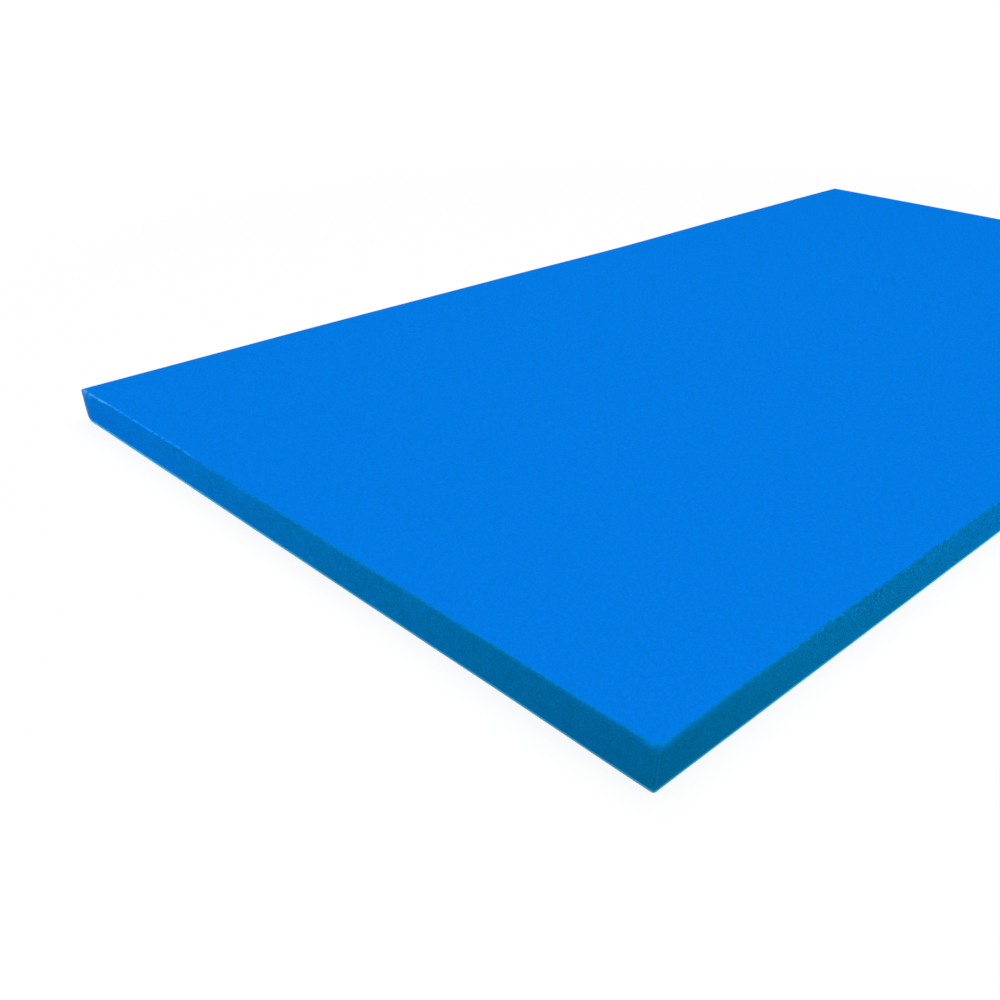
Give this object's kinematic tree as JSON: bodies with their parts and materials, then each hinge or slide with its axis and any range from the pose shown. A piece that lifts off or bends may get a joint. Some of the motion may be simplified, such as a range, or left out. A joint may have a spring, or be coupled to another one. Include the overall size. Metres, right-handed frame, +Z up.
{
  "type": "craft foam sheet",
  "caption": "Flat rectangular slab of closed-cell craft foam, matte skin on its faces, cut edges that roll over softly at the top and lean in a little below.",
  "frame": {"origin": "middle of the underside, on the surface that the sheet lies on", "axes": "+X along the length of the sheet, +Y along its width, +Z up through its thickness"},
  "size_m": [0.6, 0.3, 0.015],
  "materials": {
    "foam": "matte closed-cell foam, fine skin on both faces and cut cells on the four edges"
  },
  "bodies": {
    "root": {"foam_sheet": "foam"}
  },
  "joints": []
}
